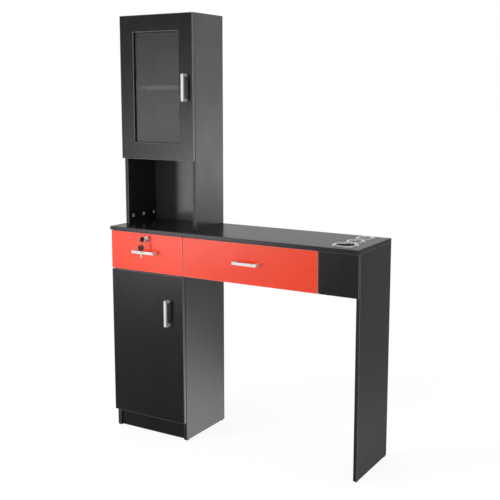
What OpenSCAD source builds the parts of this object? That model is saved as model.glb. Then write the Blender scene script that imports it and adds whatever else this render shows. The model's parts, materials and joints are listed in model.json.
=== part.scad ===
// Salon styling station: base cabinet, glazed upper cabinet, worktop on an end panel, two drawers

/* [Overall] */
// Width over the worktop
station_w = 1100; // [1000:10:1300]
// Height from the floor to the top of the upper cabinet
station_h = 1700; // [1500:10:1900]
// Height of the worktop's upper face
worktop_h = 857; // [800:1:900]
// Thickness of the coated boards
board = 15; // [15:1:18]
// Thickness of the hardboard backs and drawer bottoms
thin_board = 3; // [2.5:0.5:4]

/* [Cabinets] */
// Width of both cabinets
cabinet_w = 355; // [330:5:420]
// Depth of the base cabinet's side panels and of the end panel
base_d = 280; // [280:5:360]
// Depth of the upper cabinet's side panels
upper_d = 200; // [180:5:240]
// Height of the lower edge of the base door
plinth_h = 77; // [60:1:110]
// How far the plinth stands behind the side panels' front edges
plinth_setback = 10; // [5:1:40]
// Height of the open niche between the worktop and the upper door
niche_h = 271; // [220:1:320]
// How far the shelves stand behind the side panels' front edges
shelf_setback = 18; // [12:1:40]
// Height of the rail behind the knee space
apron_h = 156; // [100:1:156]
// Height of the rail that is screwed to the wall
wall_rail_h = 50; // [40:1:60]
// Distance between the wall screws
wall_hole_spacing = 220; // [150:5:240]
// Diameter of the holes for the wall screws
wall_hole_d = 6; // [5:0.5:8]
// Height of the nail-on floor glides
glide_h = 4; // [3:0.5:6]

/* [Fronts] */
// Height of the drawer fronts
front_h = 156; // [150:1:180]
// Gap between neighbouring fronts
reveal = 3; // [2:0.5:4]
// Gap that the bumpers leave between a front and the panels
bumper_gap = 2; // [2:0.1:2.5]
// How far the worktop reaches over the fronts
worktop_overhang = 8; // [0:1:20]
// Width of the fixed front panel beside the wide drawer
filler_w = 155; // [145:5:180]
// Width of the frame round the glass
door_frame_w = 67; // [60:1:80]
// Thickness of the glass
glass_t = 4; // [3:0.5:5]
// Overlap of the glass behind the frame
glass_lap = 9; // [6:1:12]

/* [Handles] */
// Distance between a handle's screws
handle_centres = 96; // [64:32:128]
// Width of a handle's bar
handle_bar_w = 11; // [8:0.5:14]
// Thickness of a handle's bar
handle_bar_t = 8; // [6:0.5:10]
// How far a handle stands out
handle_projection = 28; // [24:1:34]
// Height of the drawer handles above the middle of the fronts
drawer_handle_rise = 4; // [0:1:10]
// Distance of the upper door's handle from the door's edge
upper_handle_inset = 31; // [25:1:40]
// Distance of the base door's handle from the door's edge
base_handle_inset = 69; // [30:1:90]
// Distance of the base door's handle below the door's upper edge
base_handle_drop = 152; // [100:1:250]

/* [Drawers] */
// Length of the ball-bearing runners and of the drawer boxes
runner_l = 250; // [220:10:250]
// Height of the drawer boxes
drawer_box_h = 100; // [80:1:105]
// Thickness of the drawer boxes' boards
drawer_board = 12; // [10:1:15]
// Height of a drawer box's lower edge above the front's lower edge
drawer_box_rise = 20; // [16:1:24]
// Height of a runner
runner_h = 45; // [45:1:50]
// Width of a runner
runner_w = 12.7; // [12.7:0.1:13.5]
// Thickness of the runners' sheet steel
runner_sheet = 1.2; // [1:0.1:1.3]
// Diameter of the runners' balls
ball_d = 4; // [3.6:0.1:4]

/* [Tool holders] */
// Diameter of the front holder's bore
front_holder_d = 70; // [60:1:74]
// Diameter of the middle and rear holders' bores
small_holder_d = 44; // [36:1:48]
// Width of the holders' domed flanges
holder_flange_w = 14; // [10:1:16]
// Height of the domed flanges
holder_dome_h = 4; // [3:0.5:6]
// Depth of the holders below the worktop's upper face
holder_depth = 80; // [50:1:120]
// Distance of the holders' centres from the worktop's right edge
holder_inset = 82; // [70:1:90]
// Distances of the holders' centres from the worktop's front edge
holder_places = [78, 168, 253];

/* [Lock and keys] */
// Distance of the lock's axis below the worktop
lock_drop = 24; // [20:1:26]
// Diameter of the lock's barrel
lock_barrel_d = 19; // [16:0.5:20]
// Diameter of the lock's face
lock_face_d = 25; // [22:0.5:28]
// Reach of the lock's tongue from its axis
tongue_reach = 29; // [28:0.5:31]
// Diameter of the keys' bows
key_bow_d = 23; // [20:0.5:24]
// Diameter of the key ring
key_ring_d = 24; // [22:0.5:28]

/* [Hidden] */
// Clearance between a piece and its seat
seat_gap = 0.2;
// Running clearance between a turning piece and its bore
turn_gap = 0.1;
// Allowance that lets a cut run past a face
past = 1;
// Gap between the upper door's top and the cabinet's top
top_reveal = 0.5;

// Depths, from the drawer fronts' plane to the back
y_panel = board + bumper_gap;
y_back = y_panel + base_d;
y_upper_panel = y_back - upper_d;
y_upper_face = y_upper_panel - y_panel;
back_inset = 10;
y_thin_back = y_back - back_inset - thin_board;
groove_deep = 6;

// Widths
x_right_side = cabinet_w - board;
x_end_panel = station_w - board;
x_filler = station_w - filler_w;
x_partition = x_filler;
x_bay = x_partition + board;

// Heights
z_worktop = worktop_h - board;
z_front_top = z_worktop - reveal;
z_front = z_front_top - front_h;
z_base_door_top = z_front - reveal;
floor_edge_shown = 1;
door_lap = board - floor_edge_shown;
z_base_floor = plinth_h + board - door_lap;
z_drawer_board = z_front - reveal / 2 - board / 2;
z_upper_door = worktop_h + niche_h;
z_upper_door_top = station_h - top_reveal;
z_upper_floor = z_upper_door + board - door_lap;
z_upper_top = station_h - board;
z_base_shelf = (z_base_floor + z_drawer_board) / 2;
z_upper_shelf = (z_upper_floor + z_upper_top) / 2;

// Handles
handle_l = handle_centres + handle_bar_w;
handle_screw_d = 3.3;
handle_hole_d = 4.5;
handle_screw_deep = 16;
handle_corner_r = 4;
handle_inner_r = 2;
z_drawer_handle = z_front + front_h / 2 + drawer_handle_rise;
z_upper_handle = (z_upper_door + z_upper_door_top) / 2;
z_base_handle = z_base_door_top - base_handle_drop;

// Drawers: each has its left and right limits between the panels and its front's edges
left_bay = [board, x_right_side];
wide_bay = [cabinet_w, x_partition];
left_front = [0, cabinet_w - reveal / 2];
wide_front = [cabinet_w + reveal / 2, x_filler - reveal];
y_runner = y_panel + bumper_gap;
z_drawer_box = z_front + drawer_box_rise;
z_runner = z_drawer_box + drawer_box_h / 2;
bottom_rise = 8;

// Runner sections, measured from the cabinet's panel towards the drawer. The cages stand so far
// back that they stay between their rails when the drawer is open
ball_gap = 0.1;
race = ball_d + 2 * ball_gap;
outer_half = runner_h / 2;
middle_half = outer_half - runner_sheet - race;
inner_half = middle_half - runner_sheet - race;
lip_gap = 0.8;
web_gap = 1;
outer_lip_back = 2.7;
middle_lip_back = 1.4;
outer_lip_x = runner_w - outer_lip_back;
middle_lip_x = runner_w - middle_lip_back;
middle_web_x = runner_sheet + web_gap;
inner_flange_x = middle_web_x + runner_sheet + web_gap + ball_gap;
cage_sheet = 0.4;
cage_gap = 0.3;
cage_l = 80;
cage_margin = 8.5;
cage_y = y_runner + runner_l / 4 + cage_margin;
balls_per_row = 6;
outer_ball_x = 5.2;
inner_ball_x = 7;
runner_hole_d = 4.4;
runner_hole_end = 20;
runner_holes = [runner_hole_end, runner_l / 2, runner_l - runner_hole_end];
runner_screw_d = 2.5;
runner_screw_deep = 7;
web_bore_deep = 2;

// Cam fittings: a housing in one board draws in a bolt that is screwed into the other
cam_d = 15;
cam_deep = 12;
cam_distance = 29;
cam_gap = 0.1;
bolt_d = 7;
bolt_neck_d = 5;
bolt_thread_d = 5;
bolt_thread_l = 11;
bolt_head_l = 5;
cam_slot_d = 5;
upper_cam_end = 30;
shelf_cam_ends = [35, 50];
base_cam_ends = [50, 65];
filler_cam_end = 35;
upper_cams = [upper_cam_end, upper_d / 2, upper_d - upper_cam_end];
shelf_board_cams = [shelf_cam_ends[0], upper_d - shelf_cam_ends[1]];
base_cams = [base_cam_ends[0], base_d - base_cam_ends[1]];
filler_cams = [filler_cam_end, front_h - filler_cam_end];

// Shelf pins: a peg in the panel and a thicker head under the shelf
pin_d = 5;
pin_deep = 8;
pin_head_d = 6;
pin_out = 7;
pin_row_step = 32;
pin_edge = 40;

// Bumpers
bumper_d = 10;
bumper_air = 0.3;
bumper_end = 30;

// Concealed hinges: pivots in plan, from the door's hinge edge and the panel's front edge
cup_d = 35;
cup_deep = 11.5;
cup_wall = 0.8;
cup_edge = 5;
cup_flange = 1;
cup_flange_w = 38;
cup_wing_l = 62;
cup_wing_x = [-9, 5];
cup_screw_x = -2;
cup_screw_spacing = 48;
cup_screw_d = 4;
hinge_end = 90;
arm_pivot = [32, 4];
cup_pivot = [9, 3];
link_bend = [9, 8];
link_sheet = 1.8;
link_w = 11;
link_eye_r = 1.95;
link_arm_eye_r = 2.35;
hinge_pin_r = 1.1;
arm_wall = 1.2;
arm_gap = 0.4;
arm_l = 46;
arm_nose_l = 18;
arm_heel = 22;
arm_eye_r = 4;
arm_h = 11;
arm_screw_d = 5;
plate_t = 1.5;
plate_l = 40;
plate_w = 56;
plate_arm_w = 18;
plate_hole_spacing = 32;
plate_y = 37;
panel_screw_d = 4;
panel_screw_deep = 9;

// Tool holders
holder_wall = 1.2;
holder_x = station_w - holder_inset;

// Lock
lock_x = (left_front[0] + left_front[1]) / 2;
lock_z = z_worktop - lock_drop;
lock_face_t = 2.5;
lock_barrel_out = 6;
lock_barrel_l = board + lock_barrel_out;
nut_t = 4;
nut_d = 26;
plug_d = 12;
plug_proud = 0.5;
tongue_t = 2.5;
tongue_w = 13;
tongue_hub = 1;
tongue_corner = norm([tongue_reach, tongue_w / 2]);
tongue_swing = sqrt(pow(tongue_corner, 2) - pow(lock_drop, 2));
mortise_gap = 1.5;
keyway_w = 2.4;
keyway_h = 7.4;
keyway_end = 1;

// Keys and ring
key_t = 2.4;
key_blade_t = 2;
key_blade_h = 7;
key_blade_l = 18;
key_neck_h = 9;
key_hole_r = 3;
key_rim = 2;
key_notches = 4;
key_notch_start = 3;
key_notch_step = 3.6;
key_notch_w = 1.2;
key_bow_behind = 2;
key_bow_y = -(handle_projection - key_bow_behind);
key_hole_y = key_bow_y - (key_bow_d / 2 - key_hole_r - key_rim);
ring_wire_r = 0.7;
ring_turn = 45;
ring_reach = key_ring_d / 2 * sin(ring_turn) + ring_wire_r;
spare_blade_l = 24;

// The frame: middle of the width, middle of the depth over all, floor
y_reach = -key_hole_y + ring_reach;
y_face = (y_reach - y_back) / 2;

// Colours of the finishes
black_board = [0.11, 0.10, 0.11];
red_board = [0.90, 0.20, 0.13];
dark_hardboard = [0.16, 0.15, 0.15];
bright_steel = [0.78, 0.78, 0.80];
zinc = [0.62, 0.63, 0.66];
black_plastic = [0.05, 0.05, 0.05];
clear_glass = [0.75, 0.85, 0.85, 0.35];

// Moves a piece from the corner of the drawer fronts and the left side into the frame
module in_station() {
    translate([-station_w / 2, y_face, 0])
        children();
}

// A box given by its two limits along each axis
module slab(x, y, z) {
    translate([x[0], y[0], z[0]])
        cube([x[1] - x[0], y[1] - y[0], z[1] - z[0]]);
}

// A round rod from a point along a direction
module rod(at, along, d, l) {
    translate(at)
        rotate([0, acos(along[2] / norm(along)), atan2(along[1], along[0])])
            cylinder(d = d, h = l, $fn = 48);
}

// Cam fittings, each as [point on the joint, direction into the edge, direction of the open face]
function cam_row(x, ys, z, edge, face) = [for (y = ys) [[x, y, z], edge, face]];
function from(start, steps) = [for (s = steps) start + s];

upper_foot_cams = concat(
    cam_row(board / 2, from(y_upper_panel, upper_cams), worktop_h, [0, 0, 1], [1, 0, 0]),
    cam_row(cabinet_w - board / 2, from(y_upper_panel, upper_cams), worktop_h, [0, 0, 1], [-1, 0, 0]));
function level_cams(z, ys) = concat(
    cam_row(board, ys, z + board / 2, [1, 0, 0], [0, 0, -1]),
    cam_row(x_right_side, ys, z + board / 2, [-1, 0, 0], [0, 0, -1]));
upper_top_cams = level_cams(z_upper_top, from(y_upper_panel, shelf_board_cams));
upper_floor_cams = level_cams(z_upper_floor, from(y_upper_panel, shelf_board_cams));
base_floor_cams = level_cams(z_base_floor, from(y_panel, base_cams));
drawer_board_cams = level_cams(z_drawer_board, from(y_panel, base_cams));
base_top_cams = concat(
    cam_row(board / 2, from(y_panel, base_cams), z_worktop, [0, 0, -1], [1, 0, 0]),
    cam_row(cabinet_w - board / 2, from(y_panel, base_cams), z_worktop, [0, 0, -1], [-1, 0, 0]));
end_panel_cams = cam_row(station_w - board / 2, from(y_panel, base_cams), z_worktop, [0, 0, -1], [-1, 0, 0]);
partition_cams = cam_row(x_partition + board / 2, from(y_panel, base_cams), z_worktop, [0, 0, -1], [1, 0, 0]);
z_apron_mid = z_worktop - apron_h / 2;
apron_cams = [
    [[cabinet_w, y_back - board / 2, z_apron_mid], [1, 0, 0], [0, -1, 0]],
    [[x_end_panel, y_back - board / 2, z_apron_mid], [-1, 0, 0], [0, -1, 0]]];
z_plinth_mid = (glide_h + z_base_floor) / 2;
y_plinth = y_panel + plinth_setback;
plinth_cams = [
    [[board, y_plinth + board / 2, z_plinth_mid], [1, 0, 0], [0, 1, 0]],
    [[x_right_side, y_plinth + board / 2, z_plinth_mid], [-1, 0, 0], [0, 1, 0]]];
z_wall_rail = z_upper_top - wall_rail_h;
wall_rail_cams = [
    [[board, y_thin_back - board / 2, z_wall_rail + wall_rail_h / 2], [1, 0, 0], [0, -1, 0]],
    [[x_right_side, y_thin_back - board / 2, z_wall_rail + wall_rail_h / 2], [-1, 0, 0], [0, -1, 0]]];
filler_fix_cams = concat(
    [for (s = filler_cams) [[station_w - board / 2, y_panel, z_front + s], [0, 1, 0], [-1, 0, 0]]],
    [for (s = filler_cams) [[x_partition + board / 2, y_panel, z_front + s], [0, 1, 0], [1, 0, 0]]]);
all_cams = concat(upper_foot_cams, upper_top_cams, upper_floor_cams, base_floor_cams, drawer_board_cams,
    base_top_cams, end_panel_cams, partition_cams, apron_cams, plinth_cams, wall_rail_cams, filler_fix_cams);

// The bores of a list of cam fittings, in both boards of each joint
module cam_bores(fittings) {
    for (c = fittings) {
        rod(c[0] + c[1] * cam_distance + c[2] * (board / 2 + past), -c[2],
            cam_d + 2 * cam_gap, cam_deep + past + cam_gap);
        rod(c[0] - c[1] * past, c[1], bolt_d + 2 * cam_gap, cam_distance + past);
        rod(c[0] + c[1] * past, -c[1], bolt_thread_d + cam_gap, bolt_thread_l + past + cam_gap);
    }
}

module cam_locks() {
    color(zinc) in_station()
        for (c = all_cams)
            difference() {
                rod(c[0] + c[1] * cam_distance + c[2] * board / 2, -c[2], cam_d, cam_deep);
                rod(c[0], c[1], bolt_d + 2 * cam_gap, cam_distance + 2 * past);
                rod(c[0] + c[1] * cam_distance + c[2] * (board / 2 + past), -c[2], cam_slot_d, 3 * past);
            }
}

module cam_bolts() {
    color(bright_steel) in_station()
        for (c = all_cams) {
            rod(c[0] - c[1] * bolt_thread_l, c[1], bolt_thread_d, bolt_thread_l);
            rod(c[0], c[1], bolt_d, cam_distance - 2 * bolt_head_l);
            rod(c[0], c[1], bolt_neck_d, cam_distance - bolt_head_l);
            rod(c[0] + c[1] * (cam_distance - bolt_head_l), c[1], bolt_d, bolt_head_l);
        }
}

// Shelf pins: the places of the four pins under a shelf
function pin_places(y_front, z) = [
    for (x = [board, x_right_side], y = [y_front + pin_edge, y_thin_back - pin_edge])
        [x, y, z - pin_head_d / 2]];
upper_pins = pin_places(y_upper_panel + shelf_setback, z_upper_shelf);
base_pins = pin_places(y_panel + shelf_setback, z_base_shelf);

// Three rows of pin holes in the cabinet's sides
module pin_bores(places) {
    for (p = places, row = [-1:1])
        rod(p + [-pin_deep - cam_gap, 0, row * pin_row_step], [1, 0, 0], pin_d + cam_gap,
            2 * (pin_deep + cam_gap));
}

module shelf_pins() {
    color(bright_steel) in_station()
        for (p = concat(upper_pins, base_pins)) {
            inwards = p[0] > cabinet_w / 2 ? -1 : 1;
            rod(p - [inwards * pin_deep, 0, 0], [inwards, 0, 0], pin_d, pin_deep);
            rod(p, [inwards, 0, 0], pin_head_d, pin_out);
        }
}

// The groove that holds a thin back, along a side panel's inner face
module back_groove(x, z) {
    slab([x - groove_deep - seat_gap, x + groove_deep + seat_gap], [y_thin_back - seat_gap,
        y_thin_back + thin_board + seat_gap], z);
}

// Floor glides: a round foot with a nail in the panel above it
glide_inset = 12;
glide_places = [for (x = [board / 2, cabinet_w - board / 2, station_w - board / 2],
    y = [y_panel + glide_inset, y_back - glide_inset]) [x, y, 0]];
glide_d = 13;
glide_foot_t = 1;
nail_d = 2.5;
nail_l = 14;

module glide_bores() {
    for (p = glide_places)
        rod(p + [0, 0, glide_h - past], [0, 0, 1], nail_d + cam_gap, nail_l + past + cam_gap);
}

module floor_glides() {
    color(black_plastic) in_station()
        for (p = glide_places) {
            rod(p + [0, 0, glide_foot_t], [0, 0, 1], glide_d, glide_h - glide_foot_t);
            translate(p)
                cylinder(d1 = glide_d - 2 * glide_foot_t, d2 = glide_d, h = glide_foot_t, $fn = 48);
            rod(p, [0, 0, 1], nail_d, glide_h + nail_l);
        }
}

// Screw holes of the runners' cabinet rails
module rail_bores(x, direction) {
    for (s = runner_holes)
        rod([x + direction * past, y_runner + s, z_runner], [-direction, 0, 0], runner_screw_d,
            runner_screw_deep + past);
}

// Screw holes of the hinge plates
module plate_bores(heights, y_front) {
    for (z = heights, s = [-1, 1])
        rod([board + past, y_front + plate_y, z + s * plate_hole_spacing / 2], [-1, 0, 0],
            panel_screw_d, panel_screw_deep + past);
}

upper_hinges = [z_upper_door + hinge_end, z_upper_door_top - hinge_end];
base_hinges = [plinth_h + hinge_end, z_base_door_top - hinge_end];

// Base cabinet
module base_left_side() {
    color(black_board) in_station()
        difference() {
            slab([0, board], [y_panel, y_back], [glide_h, z_worktop]);
            cam_bores(concat(base_floor_cams, drawer_board_cams, base_top_cams, plinth_cams));
            back_groove(board, [0, worktop_h]);
            pin_bores(base_pins);
            glide_bores();
            plate_bores(base_hinges, y_panel);
            rail_bores(board, 1);
        }
}

module base_right_side() {
    color(black_board) in_station()
        difference() {
            slab([x_right_side, cabinet_w], [y_panel, y_back], [glide_h, z_worktop]);
            cam_bores(concat(base_floor_cams, drawer_board_cams, base_top_cams, plinth_cams, apron_cams));
            back_groove(x_right_side, [0, worktop_h]);
            pin_bores(base_pins);
            glide_bores();
            rail_bores(x_right_side, -1);
            rail_bores(cabinet_w, 1);
        }
}

module base_floor() {
    color(black_board) in_station()
        difference() {
            slab([board, x_right_side], [y_panel, y_thin_back], [z_base_floor, z_base_floor + board]);
            cam_bores(base_floor_cams);
        }
}

module base_plinth() {
    color(black_board) in_station()
        difference() {
            slab([board, x_right_side], [y_plinth, y_plinth + board], [glide_h, z_base_floor]);
            cam_bores(plinth_cams);
        }
}

module drawer_board() {
    color(black_board) in_station()
        difference() {
            slab([board, x_right_side], [y_panel, y_thin_back], [z_drawer_board, z_drawer_board + board]);
            cam_bores(drawer_board_cams);
        }
}

module base_shelf() {
    color(black_board) in_station()
        slab([board + seat_gap, x_right_side - seat_gap], [y_panel + shelf_setback, y_thin_back - seat_gap],
            [z_base_shelf, z_base_shelf + board]);
}

module base_back() {
    color(dark_hardboard) in_station()
        slab([board - groove_deep, x_right_side + groove_deep], [y_thin_back, y_thin_back + thin_board],
            [z_base_floor, z_worktop - seat_gap]);
}

// Worktop: bored for the tool holders and the cam bolts, with a mortise for the lock's tongue
module worktop() {
    color(black_board) in_station()
        difference() {
            slab([0, station_w], [-worktop_overhang, y_back], [z_worktop, worktop_h]);
            for (h = [0, 1, 2])
                rod([holder_x, holder_places[h] - worktop_overhang, z_worktop - past], [0, 0, 1],
                    (h == 0 ? front_holder_d : small_holder_d) + 2 * (holder_wall + seat_gap),
                    board + 2 * past);
            cam_bores(concat(upper_foot_cams, base_top_cams, end_panel_cams, partition_cams));
            slab([lock_x - tongue_w / 2 - mortise_gap, lock_x + tongue_swing + mortise_gap],
                [lock_barrel_l - mortise_gap, lock_barrel_l + tongue_t + mortise_gap],
                [z_worktop - past, z_worktop + tongue_corner - lock_drop + mortise_gap]);
        }
}

module end_panel() {
    color(black_board) in_station()
        difference() {
            slab([x_end_panel, station_w], [y_panel, y_back], [glide_h, z_worktop]);
            cam_bores(concat(end_panel_cams, apron_cams, filler_fix_cams));
            glide_bores();
        }
}

module filler_panel() {
    color(black_board) in_station()
        difference() {
            slab([x_filler, station_w], [y_panel - board, y_panel], [z_front, z_front_top]);
            cam_bores(filler_fix_cams);
        }
}

module holder_partition() {
    color(black_board) in_station()
        difference() {
            slab([x_partition, x_bay], [y_panel, y_back - board], [z_worktop - front_h, z_worktop]);
            cam_bores(concat(partition_cams, filler_fix_cams));
            rail_bores(x_partition, -1);
        }
}

module rear_apron() {
    color(black_board) in_station()
        difference() {
            slab([cabinet_w, x_end_panel], [y_back - board, y_back], [z_worktop - apron_h, z_worktop]);
            cam_bores(apron_cams);
        }
}

// Upper cabinet
module upper_left_side() {
    color(black_board) in_station()
        difference() {
            slab([0, board], [y_upper_panel, y_back], [worktop_h, station_h]);
            cam_bores(concat(upper_foot_cams, upper_top_cams, upper_floor_cams, wall_rail_cams));
            back_groove(board, [worktop_h - past, station_h + past]);
            pin_bores(upper_pins);
            plate_bores(upper_hinges, y_upper_panel);
        }
}

module upper_right_side() {
    color(black_board) in_station()
        difference() {
            slab([x_right_side, cabinet_w], [y_upper_panel, y_back], [worktop_h, station_h]);
            cam_bores(concat(upper_foot_cams, upper_top_cams, upper_floor_cams, wall_rail_cams));
            back_groove(x_right_side, [worktop_h - past, station_h + past]);
            pin_bores(upper_pins);
        }
}

module upper_top() {
    color(black_board) in_station()
        difference() {
            slab([board, x_right_side], [y_upper_panel, y_thin_back], [z_upper_top, station_h]);
            cam_bores(upper_top_cams);
        }
}

module upper_floor() {
    color(black_board) in_station()
        difference() {
            slab([board, x_right_side], [y_upper_panel, y_thin_back], [z_upper_floor, z_upper_floor + board]);
            cam_bores(upper_floor_cams);
        }
}

module upper_shelf() {
    color(black_board) in_station()
        slab([board + seat_gap, x_right_side - seat_gap],
            [y_upper_panel + shelf_setback, y_thin_back - seat_gap], [z_upper_shelf, z_upper_shelf + board]);
}

// Holes for the two wall screws, through the rail and the thin back
module wall_bores() {
    for (s = [-1, 1])
        rod([cabinet_w / 2 + s * wall_hole_spacing / 2, y_thin_back - board - past, z_wall_rail
            + wall_rail_h / 2], [0, 1, 0], wall_hole_d, board + thin_board + 2 * past);
}

module upper_back() {
    color(dark_hardboard) in_station()
        difference() {
            slab([board - groove_deep, x_right_side + groove_deep], [y_thin_back, y_thin_back + thin_board],
                [worktop_h + seat_gap, station_h - seat_gap]);
            wall_bores();
        }
}

module wall_rail() {
    color(black_board) in_station()
        difference() {
            slab([board, x_right_side], [y_thin_back - board, y_thin_back], [z_wall_rail, z_upper_top]);
            cam_bores(wall_rail_cams);
            wall_bores();
        }
}

// Tool holder: a tube with a domed flange that rests on the worktop
module tool_holder(place, bore_d) {
    bore_r = bore_d / 2;
    dome_r = (pow(holder_flange_w / 2, 2) + pow(holder_dome_h, 2)) / (2 * holder_dome_h);
    translate([holder_x, place - worktop_overhang, worktop_h])
        rotate_extrude($fn = 96) {
            intersection() {
                translate([bore_r + holder_flange_w / 2, holder_dome_h - dome_r])
                    circle(r = dome_r, $fn = 64);
                translate([bore_r, 0])
                    square([holder_flange_w, holder_dome_h + past]);
            }
            translate([bore_r, -holder_depth])
                square([holder_wall, holder_depth]);
        }
}

module front_tool_holder() {
    color(bright_steel) in_station()
        tool_holder(holder_places[0], front_holder_d);
}

module small_tool_holders() {
    color(bright_steel) in_station()
        for (h = [1, 2])
            tool_holder(holder_places[h], small_holder_d);
}

// Bumpers on the panels' front edges, behind the doors' and drawer fronts' corners
module bumpers() {
    bumper_t = bumper_gap - bumper_air;
    x_edges = [board / 2, cabinet_w - board / 2];
    color([0.85, 0.87, 0.88]) in_station() {
        for (z = [z_upper_door + bumper_end, z_upper_door_top - bumper_end])
            rod([x_edges[1], y_upper_panel, z], [0, -1, 0], bumper_d, bumper_t);
        for (z = [plinth_h + bumper_end, z_base_door_top - bumper_end])
            rod([x_edges[1], y_panel, z], [0, -1, 0], bumper_d, bumper_t);
        for (x = x_edges)
            rod([x, y_panel, z_front + bumper_end], [0, -1, 0], bumper_d, bumper_t);
    }
}

// Bow handle: a flat bar with rounded corners and two feet, lying along X with its feet at Y = 0
module round_cornered(l, h, r) {
    translate([-l / 2, 0])
        square([l, h - r]);
    translate([-l / 2 + r, 0])
        square([l - 2 * r, h]);
    for (s = [-1, 1])
        translate([s * (l / 2 - r), h - r])
            circle(r = r, $fn = 48);
}

module bow_handle() {
    inner_l = handle_centres - handle_bar_w;
    difference() {
        translate([0, 0, -handle_bar_w / 2])
            mirror([0, 1, 0])
                linear_extrude(handle_bar_w)
                    difference() {
                        round_cornered(handle_l, handle_projection, handle_corner_r);
                        translate([0, -past])
                            round_cornered(inner_l, handle_projection - handle_bar_t + past, handle_inner_r);
                    }
        for (s = [-1, 1])
            rod([s * handle_centres / 2, past, 0], [0, -1, 0], handle_screw_d, handle_screw_deep + past);
    }
}

module level_handle(at) {
    translate(at)
        bow_handle();
}

module upright_handle(at) {
    translate(at)
        rotate([0, 90, 0])
            bow_handle();
}

module handle_bores(at, along) {
    for (s = [-1, 1])
        rod(at + along * s * handle_centres / 2 - [0, past, 0], [0, 1, 0], handle_hole_d, board + 2 * past);
}

upper_handle_at = [cabinet_w - upper_handle_inset, y_upper_face, z_upper_handle];
base_handle_at = [cabinet_w - base_handle_inset, 0, z_base_handle];
left_handle_at = [(left_front[0] + left_front[1]) / 2, 0, z_drawer_handle];
wide_handle_at = [(wide_front[0] + wide_front[1]) / 2, 0, z_drawer_handle];

// Bores for the hinge cups, from the door's back face
module cup_bores(heights, y_door_back) {
    for (z = heights)
        rod([cup_edge + cup_d / 2, y_door_back + past, z], [0, -1, 0], cup_d + 2 * turn_gap,
            cup_deep + past + turn_gap);
}

// Glazed door: a frame routed from one board, with a rebate for the glass at the back
window_x = [door_frame_w, cabinet_w - door_frame_w];
window_z = [z_upper_door + door_frame_w, z_upper_door_top - door_frame_w];
bead_t = 1.8;
bead_recess = 0.2;
bead_shown = 4;
y_glass = y_upper_face + board - glass_t - bead_t - bead_recess;

module upper_door_frame() {
    color(black_board) in_station()
        difference() {
            slab([0, cabinet_w], [y_upper_face, y_upper_face + board], [z_upper_door, z_upper_door_top]);
            slab(window_x, [y_upper_face - past, y_upper_face + board + past], window_z);
            slab(window_x + glass_lap * [-1, 1], [y_glass, y_upper_face + board + past],
                window_z + glass_lap * [-1, 1]);
            cup_bores(upper_hinges, y_upper_face + board);
            handle_bores(upper_handle_at, [0, 0, 1]);
        }
}

module upper_door_glass() {
    glass_grow = glass_lap - seat_gap;
    color(clear_glass) in_station()
        slab(window_x + glass_grow * [-1, 1], [y_glass + seat_gap / 2, y_glass + glass_t],
            window_z + glass_grow * [-1, 1]);
}

// Bead pressed into the rebate behind the glass
module glass_bead() {
    bead_grow = glass_lap - seat_gap / 2;
    bead_y = [y_glass + glass_t, y_glass + glass_t + bead_t];
    color(black_plastic) in_station()
        difference() {
            slab(window_x + bead_grow * [-1, 1], bead_y, window_z + bead_grow * [-1, 1]);
            slab(window_x + bead_shown * [1, -1], bead_y + past * [-1, 1],
                window_z + bead_shown * [1, -1]);
        }
}

module upper_door_handle() {
    color(bright_steel) in_station()
        upright_handle(upper_handle_at);
}

module base_door_panel() {
    color(black_board) in_station()
        difference() {
            slab([0, cabinet_w], [0, board], [plinth_h, z_base_door_top]);
            cup_bores(base_hinges, board);
            handle_bores(base_handle_at, [0, 0, 1]);
        }
}

module base_door_handle() {
    color(bright_steel) in_station()
        upright_handle(base_handle_at);
}

// Hinge cup: a pressed bowl with a screwed flange and the pin that carries the link
module hinge_cup(y_door_back) {
    cup_x = cup_edge + cup_d / 2;
    difference() {
        union() {
            rod([cup_x, y_door_back, 0], [0, -1, 0], cup_d, cup_deep);
            slab(from(cup_x, cup_flange_w / 2 * [-1, 1]), [y_door_back, y_door_back + cup_flange],
                cup_flange_w / 2 * [-1, 1]);
            slab(from(cup_x, cup_wing_x), [y_door_back, y_door_back + cup_flange],
                [-cup_wing_l / 2, cup_wing_l / 2]);
        }
        rod([cup_x, y_door_back + cup_flange + past, 0], [0, -1, 0], cup_d - 2 * cup_wall,
            cup_deep + cup_flange + past - cup_wall);
        for (s = [-1, 1])
            rod([cup_x + cup_screw_x, y_door_back + cup_flange + past, s * cup_screw_spacing / 2], [0, -1, 0],
                cup_screw_d, cup_flange + 2 * past);
    }
    pin_at = [cup_pivot[0], y_door_back - cup_pivot[1], 0];
    pin_half = sqrt(pow(cup_d / 2 - cup_wall / 2, 2) - pow(cup_x - cup_pivot[0] + hinge_pin_r, 2));
    rod(pin_at - [0, 0, pin_half], [0, 0, 1], 2 * hinge_pin_r, 2 * pin_half);
}

// Hinge link: a hooked strip between two eyes, drawn in plan with the arm's pivot at the origin
link_tip = [cup_pivot[0] - arm_pivot[0], -bumper_gap - cup_pivot[1] - arm_pivot[1]];
link_hook = [link_bend[0] - arm_pivot[0], -bumper_gap - link_bend[1] - arm_pivot[1]];

module strip(a, b, w) {
    run = b - a;
    translate(a)
        rotate(atan2(run[1], run[0]))
            translate([0, -w / 2])
                square([norm(run), w]);
}

module hinge_link() {
    translate([0, 0, -link_w / 2])
        linear_extrude(link_w)
            difference() {
                union() {
                    circle(r = link_arm_eye_r, $fn = 48);
                    strip([0, 0], link_hook, link_sheet);
                    translate(link_hook)
                        circle(r = link_sheet / 2, $fn = 32);
                    strip(link_hook, link_tip, link_sheet);
                    translate(link_tip)
                        circle(r = link_eye_r, $fn = 48);
                }
                circle(r = hinge_pin_r + turn_gap, $fn = 48);
                translate(link_tip)
                    circle(r = hinge_pin_r + turn_gap, $fn = 48);
            }
}

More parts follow.
